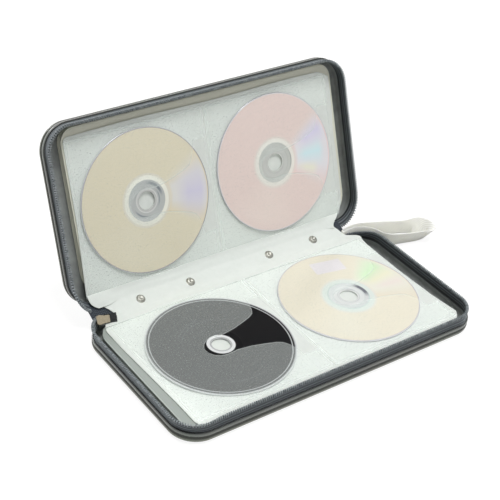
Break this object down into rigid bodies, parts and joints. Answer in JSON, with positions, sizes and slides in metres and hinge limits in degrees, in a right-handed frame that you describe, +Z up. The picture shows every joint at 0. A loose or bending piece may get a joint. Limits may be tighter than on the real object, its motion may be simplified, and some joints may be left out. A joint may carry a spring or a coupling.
{
  "type": "cd storage case",
  "caption": "Hard zip-round case for discs, open like a book, with leaves of clear pockets riveted at the spine.",
  "frame": {"origin": "middle of the base tray's underside", "axes": "+X along the spine to the wrist strap's end, +Y from the front edge to the spine, +Z up"},
  "size_m": [0.3481, 0.2276, 0.1576],
  "materials": {
    "shell": "smoky translucent, glossy",
    "tape": "woven",
    "coil": "moulded teeth",
    "band": "woven",
    "leaf": "non-woven, soft matt",
    "leaf_stack": "leaf edges",
    "film": "clear film",
    "slider_metal": "satin",
    "rivet_metal": "plated, dull",
    "webbing": "woven",
    "disc_grey": "printed label",
    "disc_cream": "silvered under clear plastic",
    "disc_gold": "silvered under clear plastic",
    "disc_pink": "silvered under clear plastic"
  },
  "bodies": {
    "base": {"base_shell": "shell", "base_zip_tape": "tape", "base_zip_coil": "coil", "base_leaf_stack": "leaf_stack", "base_top_leaf": "leaf", "base_pocket_film_left": "film", "base_pocket_film_right": "film", "base_disc_left": "disc_grey", "base_disc_right": "disc_cream", "zip_slider": "slider_metal", "zip_end_tab": "tape", "wrist_strap": "webbing"},
    "spine": {"spine_band": "band", "binding_strip": "leaf", "rivet_1": "rivet_metal", "rivet_2": "rivet_metal", "rivet_3": "rivet_metal", "rivet_4": "rivet_metal", "rivet_cap_1": "rivet_metal", "rivet_cap_2": "rivet_metal", "rivet_cap_3": "rivet_metal", "rivet_cap_4": "rivet_metal"},
    "lid": {"lid_shell": "shell", "lid_zip_tape": "tape", "lid_zip_coil": "coil", "lid_leaf_stack": "leaf_stack", "lid_top_leaf": "leaf", "lid_pocket_film_left": "film", "lid_pocket_film_right": "film", "lid_disc_left": "disc_gold", "lid_disc_right": "disc_pink"},
    "pull": {"zip_pull": "slider_metal"}
  },
  "joints": [
    {"name": "base_fold", "type": "hinge", "parent": "base", "child": "spine", "pos_m": [0, 0.0735, 0.0105], "axis": [1, 0, 0], "range_deg": [-23, 67]},
    {"name": "lid_fold", "type": "hinge", "parent": "spine", "child": "lid", "pos_m": [0, 0.08933, 0.01722], "axis": [1, 0, 0], "range_deg": [-45.4, 44.6]},
    {"name": "pull_swing", "type": "hinge", "parent": "base", "child": "pull", "pos_m": [-0.13038, 0.07124, 0.01475], "axis": [0.1193, 0.561, 0.8192], "range_deg": [-20, 90]}
  ]
}
